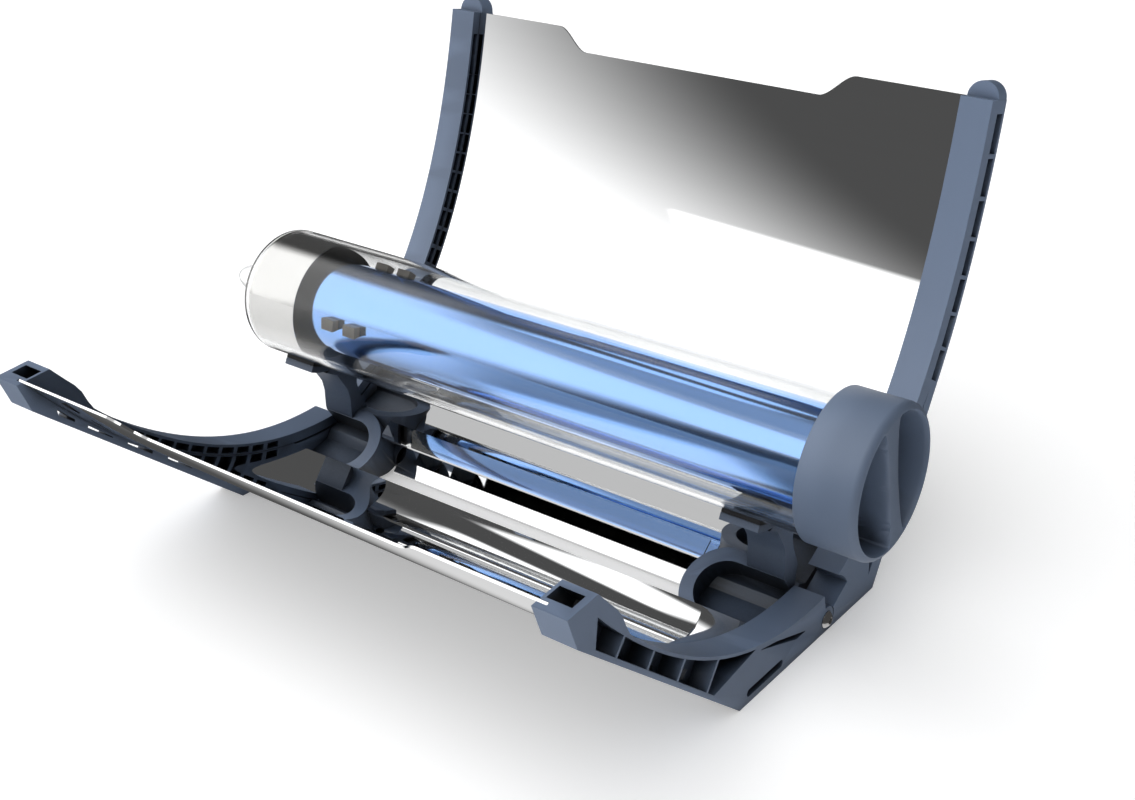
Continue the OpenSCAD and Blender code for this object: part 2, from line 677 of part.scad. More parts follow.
tray_gap = 0.8;
tray_r = bore_r - tray_gap;
module cooking_tray() color("lightgray") place() difference() {
    disc_x(tray_x, tray_end_x, tube_c, tray_r);
    disc_x(tray_x + tray_t, tray_end_x - tray_t, tube_c, tray_r - tray_t);
    translate([tray_x - over, tube_c[0] - tube_r, tube_c[1] + tray_r * tray_cut_share])
        cube([tray_end_x - tray_x + 2 * over, 2 * tube_r, tube_r]);
    disc_x(tray_end_x - tray_t - over, tray_end_x + over, tube_c, rod_d / 2 + run_gap);
}
tray_cut_share = 0.3;

rear_left_arm();
rear_right_arm();
rear_reflector();
front_left_arm();
front_right_arm();
front_reflector();
left_cradle();
right_cradle();
left_tube_pad();
right_tube_pad();
hinge_screws();
hinge_nuts();
hinge_washers();
outer_glass();
silvered_band();
absorber_glass();
spring_clip();
cap();
plug();
plug_disc();
tray_rod();
rod_nut();
cooking_tray();
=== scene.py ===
# %% [markdown]
# A folding solar oven. Two trough mirrors stand in moulded end frames and throw sunlight on a
# vacuum glass tube. The imported model gives every piece's place, so this file gives the pieces
# their finished shapes and their surfaces. Loading comes first, because all that follows is
# measured from the imported nodes.

# %% The imported model
import json
import math
import bmesh
import bpy
import numpy as np
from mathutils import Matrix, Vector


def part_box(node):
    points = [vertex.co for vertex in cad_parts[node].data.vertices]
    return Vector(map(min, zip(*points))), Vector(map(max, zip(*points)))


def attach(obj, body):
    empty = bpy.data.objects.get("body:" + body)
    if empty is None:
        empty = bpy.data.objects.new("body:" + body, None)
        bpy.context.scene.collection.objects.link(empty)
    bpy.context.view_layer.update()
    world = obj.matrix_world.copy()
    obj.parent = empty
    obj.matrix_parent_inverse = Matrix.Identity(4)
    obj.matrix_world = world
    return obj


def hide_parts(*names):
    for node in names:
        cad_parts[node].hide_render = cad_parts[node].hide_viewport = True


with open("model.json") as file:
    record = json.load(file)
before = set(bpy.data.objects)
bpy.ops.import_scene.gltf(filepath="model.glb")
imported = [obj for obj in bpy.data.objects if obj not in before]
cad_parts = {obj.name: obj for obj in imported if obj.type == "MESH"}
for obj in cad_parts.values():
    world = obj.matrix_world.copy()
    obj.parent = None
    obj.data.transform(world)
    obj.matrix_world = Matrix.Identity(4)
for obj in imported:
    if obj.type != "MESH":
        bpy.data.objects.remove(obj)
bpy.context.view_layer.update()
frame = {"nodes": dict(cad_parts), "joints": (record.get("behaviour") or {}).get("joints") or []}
nodes = frame["nodes"]
print("nodes:", len(nodes))

# %% [markdown]
# The tube's centre line and the hinge line fix everything else. They could be typed in, but they
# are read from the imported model, so that this file still fits when the model's sizes change: the
# first is the middle of the outer glass, the second is where the front half turns. The line from
# hinge to tube is called upright here, and the arms' middle is the middle of the mirrors.

# %% Places taken from the frame
MM = 0.001
glass_low, glass_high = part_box("outer_glass")
absorber_low, absorber_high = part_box("absorber_glass")
arm_low, arm_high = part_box("rear_right_arm")
cradle_low, cradle_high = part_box("right_cradle")
cap_low, cap_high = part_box("cap")
silver_low, silver_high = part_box("silvered_band")
tube_y = (glass_low.y + glass_high.y) / 2
tube_z = (glass_low.z + glass_high.z) / 2
tube_r = (glass_high.y - glass_low.y) / 2
fold = next(j for j in frame["joints"] if j["name"] == "front_fold")
hinge_y, hinge_z = fold["pos_m"][1], fold["pos_m"][2]
upright = math.atan2(tube_z - hinge_z, tube_y - hinge_y)
middle_x = (arm_high.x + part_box("rear_left_arm")[0].x) / 2
arm_in = arm_low.x - middle_x
print("tube centre", round(tube_y, 4), round(tube_z, 4), "upright angle", round(math.degrees(upright), 2))

# %% [markdown]
# Helpers. A surface is a grid of points worked out by numpy from two parameters. It could be
# modelled by hand with loop cuts, but a formula stays exact and a mirror shows every dent. The
# grid's cells become quads, and faces meet smoothly unless they meet at more than a given angle.
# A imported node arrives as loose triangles, so a copy is merged before its edges are rounded.


# %% Helpers for meshes
def mesh_piece(name, points, faces, sharp_deg=35):
    """Puts points (n, 3) and faces (lists of indices) into a new object at the origin."""
    mesh = bpy.data.meshes.new(name)
    mesh.from_pydata(points.tolist(), [], faces)
    mesh.validate()
    mesh.polygons.foreach_set("use_smooth", np.ones(len(mesh.polygons), bool))
    mesh.set_sharp_from_angle(angle=math.radians(sharp_deg))
    obj = bpy.data.objects.new(name, mesh)
    bpy.context.scene.collection.objects.link(obj)
    return obj


def grid_faces(rows, cols, start=0, wrap=False):
    """Quads of a grid whose point (i, j) has index start + i * cols + j. With wrap, the last column
    joins the first."""
    i = np.arange(rows - 1)[:, None]
    j = np.arange(cols if wrap else cols - 1)[None, :]
    k = (j + 1) % cols
    quads = np.stack([i * cols + j, i * cols + k, (i + 1) * cols + k, (i + 1) * cols + j], axis=-1)
    return (quads.reshape(-1, 4) + start).tolist()


def outward(obj):
    """Turns every face of a closed shell outwards."""
    work = bmesh.new()
    work.from_mesh(obj.data)
    bmesh.ops.remove_doubles(work, verts=work.verts, dist=1e-6)
    bmesh.ops.recalc_face_normals(work, faces=work.faces)
    work.to_mesh(obj.data)
    work.free()
    return obj


def turned(name, profile, steps=160, sharp_deg=35):
    """A closed profile of [place along the tube, radius] carried round the tube's centre line:
    y = centre + r cos a, z = centre + r sin a."""
    profile = np.asarray(profile)
    a = np.linspace(0, 2 * np.pi, steps, endpoint=False)
    x = np.repeat(profile[:, :1], steps, axis=1)
    y = tube_y + profile[:, 1:] * np.cos(a)
    z = tube_z + profile[:, 1:] * np.sin(a)
    points = np.stack([x, y, z], axis=-1)
    closed = np.concatenate([points, points[:1]])
    faces = grid_faces(len(closed), steps, wrap=True)
    obj = mesh_piece(name, closed.reshape(-1, 3), faces, sharp_deg)
    return smooth_by_angle(outward(obj), sharp_deg)


def smooth_by_angle(obj, sharp_deg=35):
    """Shades every face smooth and marks the edges that are sharper than the angle."""
    obj.data.polygons.foreach_set("use_smooth", np.ones(len(obj.data.polygons), bool))
    obj.data.set_sharp_from_angle(angle=math.radians(sharp_deg))
    return obj


def softened(node, name, width, body, segments=2, sharp_deg=32):
    """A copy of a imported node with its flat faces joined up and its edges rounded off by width."""
    mesh = nodes[node].data.copy()
    work = bmesh.new()
    work.from_mesh(mesh)
    bmesh.ops.remove_doubles(work, verts=work.verts, dist=2e-6)
    bmesh.ops.dissolve_limit(work, angle_limit=math.radians(0.4), verts=work.verts, edges=work.edges)
    work.to_mesh(mesh)
    work.free()
    obj = bpy.data.objects.new(name, mesh)
    bpy.context.scene.collection.objects.link(obj)
    mesh.polygons.foreach_set("use_smooth", np.ones(len(mesh.polygons), bool))
    if width:
        bevel = obj.modifiers.new("rounded edges", "BEVEL")
        bevel.limit_method = "ANGLE"
        bevel.angle_limit = math.radians(sharp_deg)
        bevel.width = width
        bevel.segments = segments
        bevel.use_clamp_overlap = True
        bevel.harden_normals = True
    mesh.set_sharp_from_angle(angle=math.radians(sharp_deg))
    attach(obj, body)
    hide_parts(node)
    return obj


# %% [markdown]
# Surfaces. The moulded frames look like a matte plastic with a fine grain, the mirrors are polished
# sheet, the tube is clear glass over a blue selective coating, and the cap is silicone. Photographs
# of plastic or metal could be wrapped on, but noise on the piece's own coordinates has no seam and
# needs no file. Each material changes a little from place to place, as real finishes do. The moulded
# ones also carry painted shade that deepens their hollows.


# %% Helpers for materials
def new_material(name):
    """A new node material: the material, its node tree and its shader."""
    mat = bpy.data.materials.new(name)
    mat.use_nodes = True
    tree = mat.node_tree
    return mat, tree, tree.nodes["Principled BSDF"]


def object_noise(tree, scale, detail=3.0, stretch=(1, 1, 1)):
    """A noise on the piece's own coordinates, in metres."""
    coords = tree.nodes.new("ShaderNodeTexCoord")
    mapping = tree.nodes.new("ShaderNodeMapping")
    mapping.inputs["Scale"].default_value = stretch
    noise = tree.nodes.new("ShaderNodeTexNoise")
    noise.inputs["Scale"].default_value = scale
    noise.inputs["Detail"].default_value = detail
    tree.links.new(coords.outputs["Object"], mapping.inputs["Vector"])
    tree.links.new(mapping.outputs["Vector"], noise.inputs["Vector"])
    return noise.outputs["Fac"]


def ramp(tree, source, stops):
    """Maps a value to colours at the given places."""
    node = tree.nodes.new("ShaderNodeValToRGB")
    elements = node.color_ramp.elements
    while len(elements) < len(stops):
        elements.new(0.5)
    for element, (place, colour) in zip(elements, stops):
        element.position = place
        element.color = (*colour, 1)
    tree.links.new(source, node.inputs["Fac"])
    return node.outputs["Color"]


def to_range(tree, source, low, high):
    """Stretches a value of 0 to 1 to the range from low to high."""
    node = tree.nodes.new("ShaderNodeMapRange")
    node.inputs["To Min"].default_value = low
    node.inputs["To Max"].default_value = high
    tree.links.new(source, node.inputs["Value"])
    return node.outputs["Result"]


def add_bump(tree, shader, source, strength, distance):
    """Lets a value raise the surface by a distance in metres."""
    bump = tree.nodes.new("ShaderNodeBump")
    bump.inputs["Strength"].default_value = strength
    bump.inputs["Distance"].default_value = distance
    tree.links.new(source, bump.inputs["Height"])
    tree.links.new(bump.outputs["Normal"], shader.inputs["Normal"])


def shade(colour, k):
    """The colour at k times its brightness."""
    return tuple(min(1.0, c * k) for c in colour)


def moulded(name, colour, rough, grain=2200, grain_depth=0.00005, painted_shade_reach=0.014, painted_shade_full_below=0.22):
    """Matte moulded plastic: a fine grain, a faint cloudy change of tone, edges rubbed paler, and
    painted shade, a tone that falls nearly to black where ambient occlusion finds the surface enclosed."""
    mat, tree, shader = new_material(name)
    cloud = object_noise(tree, 22, 4)
    tone = ramp(tree, cloud, [(0.3, shade(colour, 0.93)), (0.7, shade(colour, 1.07))])
    geometry = tree.nodes.new("ShaderNodeNewGeometry")
    edge = to_range(tree, geometry.outputs["Pointiness"], 0, 1)
    worn = ramp(tree, edge, [(0.52, (0, 0, 0)), (0.6, (1, 1, 1))])
    mix = tree.nodes.new("ShaderNodeMix")
    mix.data_type = "RGBA"
    mix.inputs["B"].default_value = (*shade(colour, 1.28), 1)
    tree.links.new(worn, mix.inputs["Factor"])
    tree.links.new(tone, mix.inputs["A"])
    # Painted shade: ambient occlusion within the given reach multiplies the colour toward near black in
    # pockets, hollows and gaps between parts.
    depth = tree.nodes.new("ShaderNodeAmbientOcclusion")
    depth.samples = 6
    depth.inputs["Distance"].default_value = painted_shade_reach
    painted_recess_shade = ramp(tree, depth.outputs["AO"], [(painted_shade_full_below, (0.06, 0.06, 0.06)), (painted_shade_full_below + 0.5, (1, 1, 1))])
    painted_shade_mix = tree.nodes.new("ShaderNodeMix")
    painted_shade_mix.data_type = "RGBA"
    painted_shade_mix.blend_type = "MULTIPLY"
    painted_shade_mix.inputs["Factor"].default_value = 1.0
    tree.links.new(mix.outputs["Result"], painted_shade_mix.inputs["A"])
    tree.links.new(painted_recess_shade, painted_shade_mix.inputs["B"])
    tree.links.new(painted_shade_mix.outputs["Result"], shader.inputs["Base Color"])
    patches = to_range(tree, object_noise(tree, 60, 3), rough - 0.05, rough + 0.06)
    tree.links.new(patches, shader.inputs["Roughness"])
    add_bump(tree, shader, object_noise(tree, grain, 2), 0.35, grain_depth)
    shader.inputs["Specular IOR Level"].default_value = 0.45
    return mat


# %% Materials
SLATE = (0.118, 0.158, 0.235)
# Each moulded finish below carries painted shade in its hollows, from ambient occlusion in its colour.
slate_plastic = moulded("slate_plastic", SLATE, 0.42)
# The hubs use the same slate plastic with painted shade that reaches further and starts sooner, so their
# hollows render near black.
hub_plastic_deep_painted_shade = moulded("hub_slate_plastic_deep_painted_shade", SLATE, 0.42, painted_shade_reach=0.035, painted_shade_full_below=0.4)
cap_silicone = moulded("cap_silicone", (0.122, 0.163, 0.240), 0.5, 1500, 0.00004)
soft_pad = moulded("soft_pad_silicone", (0.012, 0.013, 0.016), 0.6, 1200)


def polished(name, colour, rough_low, rough_high, stretch=(1, 1, 1), scale=300):
    """Polished metal: full reflection, with a roughness that changes a little in fine streaks."""
    mat, tree, shader = new_material(name)
    shader.inputs["Metallic"].default_value = 1.0
    streak = object_noise(tree, scale, 4, stretch)
    tone = ramp(tree, streak, [(0.2, shade(colour, 0.985)), (0.8, colour)])
    tree.links.new(tone, shader.inputs["Base Color"])
    tree.links.new(to_range(tree, streak, rough_low, rough_high), shader.inputs["Roughness"])
    return mat


mirror_sheet = polished("mirror_sheet", (0.93, 0.935, 0.94), 0.012, 0.03, (0.02, 1, 1), 260)
silver_film = polished("silver_film", (0.70, 0.69, 0.675), 0.07, 0.12)
stainless = polished("stainless_steel", (0.62, 0.61, 0.6), 0.16, 0.26, (1, 1, 0.1), 900)


def clear_glass():
    """Clear borosilicate glass with faint handling smears in its roughness."""
    mat, tree, shader = new_material("clear_glass")
    shader.inputs["Transmission Weight"].default_value = 1.0
    shader.inputs["IOR"].default_value = 1.47
    smear = object_noise(tree, 14, 5, (1, 2, 2))
    tint = ramp(tree, smear, [(0.3, (0.945, 0.95, 0.95)), (0.7, (0.965, 0.97, 0.97))])
    tree.links.new(tint, shader.inputs["Base Color"])
    tree.links.new(to_range(tree, smear, 0.0, 0.012), shader.inputs["Roughness"])
    return mat


def selective_coating():
    """The coating of the inner glass: a metal-like blue that is a little uneven along the tube."""
    mat, tree, shader = new_material("selective_coating")
    shader.inputs["Metallic"].default_value = 1.0
    band = object_noise(tree, 9, 2, (1, 4, 4))
    blue = ramp(tree, band, [(0.3, (0.26, 0.48, 0.94)), (0.7, (0.30, 0.53, 1.0))])
    tree.links.new(blue, shader.inputs["Base Color"])
    tree.links.new(to_range(tree, object_noise(tree, 120, 3), 0.09, 0.13), shader.inputs["Roughness"])
    return mat


tube_glass = clear_glass()
blue_coating = selective_coating()
print("materials:", len(bpy.data.materials))

# %% [markdown]
# The mirrors. Each is a parabola whose focus is the tube's centre line, so that light which comes
# in along its axis meets on the tube. The two axes lean apart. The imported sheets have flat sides
# that would show as bands in the reflection, so each sheet is made anew as a fine grid on the true
# curve. Below, between the hubs, the rear sheet has a flat lip. The photograph shows that place
# only through reflections, so the lip is a guess. It was kept because the even grey band under the
# tube comes out with it, but the real metal there may well have another shape.

# %% The mirror curve
FOCAL = 75 * MM
LEAN = math.radians(17.5)
LIP_AT, LIP_LEN, LIP_SLOPE = 9 * MM, 26 * MM, math.radians(42.7)
LIP_END_GAP = 0.5 * MM
SHEET = 1 * MM
FRONT_W, REAR_W = 150 * MM, 170.8 * MM
HUB_CORNER_R = 33.3 * MM
LIP_OVERLAP = 7.5 * MM
SHEET_IN_ARM = 3.7 * MM
NOTCH_LEN, NOTCH_DEEP, NOTCH_SLOPE = 160 * MM, 10.5 * MM, 17 * MM
front_axis, rear_axis = upright - LEAN, upright + LEAN


def curve(u, axis, off=0.0):
    """Points (y, z) of a mirror curve at width u from its deepest line, moved off towards the tube:
    vertex + u across + u squared over four focal lengths along the axis."""
    along = np.array([math.cos(axis), math.sin(axis)])
    cross = np.array([math.sin(axis), -math.cos(axis)])
    u = np.asarray(u, float)[..., None]
    centre = np.array([tube_y, tube_z])
    point = centre - FOCAL * along + u * cross + u * u / (4 * FOCAL) * along
    normal = along - u / (2 * FOCAL) * cross
    return point + off * normal / np.linalg.norm(normal, axis=-1, keepdims=True)


def ease(t):
    """Rises smoothly from 0 to 1 as t does: 3 t squared minus 2 t cubed."""
    t = np.clip(t, 0, 1)
    return t * t * (3 - 2 * t)


def rear_lip(xs):
    """The low end of the rear sheet's curve, and on from it a flat lip between the hubs: last point
    of the curve minus distance times (cos slope, sin slope)."""
    down = np.array([math.cos(LIP_SLOPE), math.sin(LIP_SLOPE)])
    fall = np.linspace(0, LIP_LEN, 5)[:, None, None] * down
    layers = []
    for off in (0.0, -SHEET):
        bend = curve(np.linspace(LIP_OVERLAP, -LIP_AT, 8)[:, None], rear_axis, off)
        yz = np.concatenate([bend, bend[-1:] - fall[1:]])
        yz = np.broadcast_to(yz, (len(yz), len(xs), 2))
        x = np.broadcast_to(xs[None, :, None], (len(yz), len(xs), 1))
        layers.append(np.concatenate([x, yz], axis=-1).reshape(-1, 3))
    return two_layers("rear_mirror_lip", layers, (len(yz), len(xs)))


def trough(name, axis, side, width):
    """A trough mirror: point (x, u) of the grid lies on the curve at width side times u. The free
    edge dips by the hand notch, and the lower edge is straight and just clears the hubs."""
    u = np.linspace(0, 0.06, 1200)
    reach = np.linalg.norm(curve(side * u, axis) - np.array([hinge_y, hinge_z]), axis=1)
    start = u[np.argmax(reach > HUB_CORNER_R)]
    half = arm_in + SHEET_IN_ARM
    inner = NOTCH_LEN / 2 - NOTCH_SLOPE
    xs = np.unique(np.concatenate([
        np.linspace(0, inner, 8), np.linspace(inner, NOTCH_LEN / 2, 14),
        np.linspace(NOTCH_LEN / 2, half, 9)]).round(9))
    xs = np.concatenate([-xs[:0:-1], xs])
    notch = NOTCH_DEEP * ease((NOTCH_LEN / 2 - np.abs(xs)) / NOTCH_SLOPE)
    slope = 1 / math.sqrt(1 + (width / (2 * FOCAL)) ** 2)
    t = np.linspace(0, 1, 126)[:, None]
    us = start + (width - notch * slope - start) * t
    layers = []
    for off in (0.0, -SHEET):
        yz = curve(side * us, axis, off)
        x = np.broadcast_to(xs + middle_x, us.shape)
        layers.append(np.concatenate([x[..., None], yz], axis=-1).reshape(-1, 3))
    return two_layers(name, layers, us.shape)


def two_layers(name, layers, shape):
    """A closed sheet from the grids of its two sides."""
    quads = np.array(grid_faces(*shape))
    count = shape[0] * shape[1]
    faces = quads.tolist() + (quads[:, ::-1] + count).tolist() + rim_faces(quads, count)
    obj = mesh_piece(name, np.concatenate(layers), faces, 30)
    return smooth_by_angle(outward(obj), 30)


def rim_faces(quads, count):
    """Quads that join the edge of one layer to the same edge of the layer below."""
    edges = np.concatenate([quads[:, [k, (k + 1) % 4]] for k in range(4)])
    seen = {}
    for a, b in edges.tolist():
        key = (min(a, b), max(a, b))
        seen[key] = seen.get(key, 0) + 1
    return [[b, a, a + count, b + count] for a, b in edges.tolist() if seen[(min(a, b), max(a, b))] == 1]


rear_mirror = trough("rear_mirror_sheet", rear_axis, 1, REAR_W)
front_mirror = trough("front_mirror_sheet", front_axis, -1, FRONT_W)
hub_ends = np.array([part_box("left_cradle")[1].x, cradle_low.x])
lip = rear_lip(np.linspace(hub_ends[0] + LIP_END_GAP, hub_ends[1] - LIP_END_GAP, 9))
lip.data.materials.append(mirror_sheet)
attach(lip, "rear_frame")
for obj, node, body in ((rear_mirror, "rear_reflector", "rear_frame"),
                        (front_mirror, "front_reflector", "front_frame")):
    obj.data.materials.append(mirror_sheet)
    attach(obj, body)
    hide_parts(node)
print("mirror faces:", len(rear_mirror.data.polygons), len(front_mirror.data.polygons))

# %% [markdown]
# The hub strip. Between the two hubs the photograph shows an even grey band, a navy band and a
# black band, one below the other. Here a flat polished strip that shows the underside of the tube
# gives the navy band, and the gap below it gives the black one. The strip is a guess from these
# reflections, and its length was tried until the bands fell in place. It turns with the cradles.

# %% Strip between the hubs
STRIP_TOP, STRIP_LONG, STRIP_SLOPE = 21.5 * MM, 8 * MM, math.radians(25.7)
STRIP_IN_HUB = 3 * MM


def hub_strip(name):
    """A flat sheet: height over the hinge = top - distance in front of the hinge times the
    tangent of the slope."""
    width = np.linspace(0, STRIP_LONG, 7)
    xs = np.linspace(hub_ends[0] - STRIP_IN_HUB, hub_ends[1] + STRIP_IN_HUB, 9)
    across = np.array([math.sin(upright), -math.cos(upright)])
    rise = np.array([math.cos(upright), math.sin(upright)])
    x = np.tile(xs, len(width))[:, None]
    layers = []
    for top in (STRIP_TOP, STRIP_TOP - SHEET):
        height = top - width * math.tan(STRIP_SLOPE)
        yz = np.array([hinge_y, hinge_z]) - width[:, None] * across + height[:, None] * rise
        layers.append(np.concatenate([x, np.repeat(yz, len(xs), axis=0)], axis=-1))
    return two_layers(name, layers, (len(width), len(xs)))


strip = hub_strip("hub_mirror_strip")
strip.data.materials.append(mirror_sheet)
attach(strip, "tube_cradle")
print("strip and lip run", hub_ends.round(4))

# %% [markdown]
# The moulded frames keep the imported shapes, which already have the ribs, pockets and windows. A
# moulding never has a knife edge. Rounding could be modelled edge by edge, but a Bevel modifier on
# a copy reaches every edge at once, and its small flanks catch the light.

# %% Arms and cradles
for node, body in (("rear_left_arm", "rear_frame"), ("rear_right_arm", "rear_frame"),
                   ("front_left_arm", "front_frame"), ("front_right_arm", "front_frame")):
    arm = softened(node, node + "_moulding", 0.35 * MM, body)
    arm.data.materials.clear()
    arm.data.materials.append(slate_plastic)
for node in ("left_cradle", "right_cradle"):
    cradle = softened(node, node + "_moulding", 0.5 * MM, "tube_cradle")
    cradle.data.materials.clear()
    # The cradles get the slate plastic with the stronger painted shade in their hollows.
    cradle.data.materials.append(hub_plastic_deep_painted_shade)

# %% [markdown]
# The tube. The outer glass is drawn to a dome and a sealed tip. The inner glass carries the blue
# coating, and a silvery film coats the inside of the domed end. All three are bodies of rotation.
# A Screw modifier could turn them, but here the profile and the turning are one numpy grid, so
# that walls keep a true thickness and light bends in the glass as it should.

# %% Tube
GLASS, INNER_GLASS, FILM = 2.2 * MM, 1.6 * MM, 0.3 * MM
DOME_LEN, TIP_LEN, TIP_R = 12 * MM, 24.2 * MM, 8.5 * MM
TIP_SINK, FILM_GAP = 1.2 * MM, 0.05 * MM
ON_AXIS = 1e-7


def quarter(x0, x1, r, n=24):
    """Points of a quarter oval from radius r at place x0 to radius 0 at place x1."""
    a = np.linspace(0, np.pi / 2, n)
    return np.stack([x0 + (x1 - x0) * np.sin(a), r * np.cos(a)], axis=1)


dome_x = glass_low.x + TIP_LEN
dome_start = dome_x + DOME_LEN
outer_dome = quarter(dome_start, dome_x, tube_r)
outer_dome = outer_dome[outer_dome[:, 1] > TIP_R * 1.02]
tip = quarter(dome_x + TIP_SINK, glass_low.x, TIP_R)
inner_dome = quarter(dome_start, dome_x + GLASS, tube_r - GLASS)[::-1]
profile = np.concatenate([
    [[glass_high.x, tube_r]], outer_dome, tip, inner_dome, [[glass_high.x, tube_r - GLASS]]])
profile[:, 1] = np.maximum(profile[:, 1], ON_AXIS)
glass = turned("outer_glass_tube", profile)
glass.data.materials.append(tube_glass)
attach(glass, "tube_cradle")
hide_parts("outer_glass")

absorber_r = 21 * MM
bore_r = absorber_r - INNER_GLASS
lip_x = glass_high.x
a_start = absorber_low.x + absorber_r / 2
a_profile = np.concatenate([
    [[lip_x, absorber_r]], quarter(a_start, absorber_low.x, absorber_r),
    quarter(a_start, absorber_low.x + INNER_GLASS, bore_r)[::-1],
    [[absorber_high.x, bore_r], [absorber_high.x, tube_r], [lip_x, tube_r]]])
a_profile[:, 1] = np.maximum(a_profile[:, 1], ON_AXIS)
absorber = turned("coated_inner_glass", a_profile)
absorber.data.materials.append(blue_coating)
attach(absorber, "tube_cradle")
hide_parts("absorber_glass")

film_r = tube_r - GLASS - FILM_GAP
film_out = quarter(dome_start, dome_x + GLASS + FILM_GAP, film_r)
film_in = quarter(dome_start, dome_x + GLASS + FILM_GAP + FILM, film_r - FILM)[::-1]
film_profile = np.concatenate([
    [[silver_high.x, film_r]], film_out, film_in, [[silver_high.x, film_r - FILM]]])
film_profile[:, 1] = np.maximum(film_profile[:, 1], ON_AXIS)
film = turned("silver_film_band", film_profile)
film.data.materials.append(silver_film)
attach(film, "tube_cradle")
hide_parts("silvered_band")
print("tube radius", round(tube_r, 4), "coating radius", round(absorber_r, 4))

# %% [markdown]
# The spring clip holds the closed end of the inner tube in the middle of the outer one. All that
# the photograph clearly shows of it are two small pads, one behind the other, which stand on the
# inner tube. More pads round the tube are a guess. Each pad is a block bent round the tube, because
# a straight box would leave gaps under its ends.

# %% Spring clip
PAD_LOW, PAD_HIGH = absorber_r - 0.1 * MM, absorber_r + 3.5 * MM
PAD_LONG, PAD_WIDE = 7 * MM, 5 * MM
PAD_ROWS = (-90 * MM, -77 * MM)
PAD_ANGLES = np.radians([173, 293, 53])


def arc_block(x, a_mid, steps=7):
    """A block round the tube: its four corners, at two radii and two places along the tube, are
    carried through an angle of pad width over radius."""
    a = a_mid + np.linspace(-0.5, 0.5, steps)[:, None] * PAD_WIDE / PAD_HIGH
    xs = np.broadcast_to(x + np.array([-0.5, 0.5, 0.5, -0.5]) * PAD_LONG, (steps, 4))
    rs = np.array([PAD_LOW, PAD_LOW, PAD_HIGH, PAD_HIGH])
    return np.stack([xs, tube_y + rs * np.cos(a), tube_z + rs * np.sin(a)], axis=-1).reshape(-1, 3)


def spring_clip(steps=7):
    """One mesh with a pad at each angle in each row."""
    blocks = [arc_block(row, angle, steps) for row in PAD_ROWS for angle in PAD_ANGLES]
    last = 4 * (steps - 1)
    faces = []
    for k in range(len(blocks)):
        start = k * 4 * steps
        ends = [[3, 2, 1, 0], [last, last + 1, last + 2, last + 3]]
        faces += grid_faces(steps, 4, start, wrap=True) + [[start + i for i in end] for end in ends]
    return smooth_by_angle(outward(mesh_piece("centring_spring_clip", np.concatenate(blocks), faces)), 35)


clip = spring_clip()
# The clip metal's painted shade in its hollows reaches only 2 mm.
clip.data.materials.append(moulded("clip_metal", (0.26, 0.24, 0.21), 0.45, 900, 0.00003, 0.002))
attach(clip, "tube_cradle")
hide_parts("spring_clip")
print("spring clip faces:", len(clip.data.polygons))

# %% [markdown]
# The cap. Its face has two finger hollows beside a grip bar. The hollows could be cut with a
# Boolean, but that leaves ragged shading where the round walls run out. So the whole skin is one
# grid: the profile runs from the skirt over the rim to the middle of the face, and a depth is added
# on the face where a finger hollow is.

# %% Cap
CAP_ROUND, SKIRT_GAP, CAP_CHAMFER = 3.2 * MM, 0.12 * MM, 0.5 * MM
FINGER_DEEP, FINGER_WALL, FINGER_RIM = 13 * MM, 1.6 * MM, 2.9 * MM
GRIP_HALF, GRIP_FLARE, CROWN = 4.5 * MM, 2.2 * MM, 0.9 * MM
cap_r = (cap_high.y - cap_low.y) / 2


def finger_depth(y, z):
    """Depth of the face at (y, z) from the cap's middle: full inside the rim and beside the bar,
    none on the rim and the bar, with a steep smooth wall between."""
    r = np.hypot(y, z)
    across = y * math.sin(upright) - z * math.cos(upright)
    up = y * math.cos(upright) + z * math.sin(upright)
    half = GRIP_HALF + GRIP_FLARE * np.abs(up / (cap_r - CAP_ROUND)) ** 4
    inside = ease((cap_r - FINGER_RIM - r) / FINGER_WALL)
    beside = ease((np.abs(across) - half + FINGER_WALL / 2) / FINGER_WALL)
    crown = CROWN * np.clip(across / half, -1, 1) ** 2 * (1 - np.abs(up) / cap_r)
    return FINGER_DEEP * inside * beside + crown * inside


def cap_skin(steps=288):
    """The profile from skirt to face, carried round the tube's centre line: y = centre + r cos a,
    z = centre + r sin a, and x less the finger depth on the face."""
    skirt_x = absorber_high.x + 0.05 * MM
    bore, corner = tube_r + SKIRT_GAP, CAP_CHAMFER
    a = np.linspace(0, np.pi / 2, 10)
    side = np.array([
        [skirt_x, 1e-6], [skirt_x, bore], [cap_low.x + 0.3 * MM, bore], [cap_low.x, tube_r + corner],
        [cap_low.x, cap_r - corner], [cap_low.x + corner, cap_r], [(cap_low.x + cap_high.x) / 2, cap_r]])
    bend = np.stack([
        cap_high.x - CAP_ROUND + CAP_ROUND * np.sin(a), cap_r - CAP_ROUND + CAP_ROUND * np.cos(a)], axis=1)
    wall_r = cap_r - 5 * MM
    radii = np.concatenate([
        np.linspace(cap_r - CAP_ROUND, wall_r, 14)[1:], np.linspace(wall_r, 1e-6, 60)[1:]])
    face = np.stack([np.full(len(radii), cap_high.x), radii], axis=1)
    profile = np.concatenate([side, bend, face])
    angle = np.linspace(0, 2 * np.pi, steps, endpoint=False)
    y = profile[:, 1:] * np.cos(angle)
    z = profile[:, 1:] * np.sin(angle)
    x = np.repeat(profile[:, :1], steps, axis=1)
    first_face = len(side) + len(bend) - 3
    x[first_face:] -= finger_depth(y, z)[first_face:]
    points = np.stack([x, y + tube_y, z + tube_z], axis=-1).reshape(-1, 3)
    obj = mesh_piece("cap_skin", points, grid_faces(len(profile), steps, wrap=True), 60)
    return smooth_by_angle(outward(obj), 60)


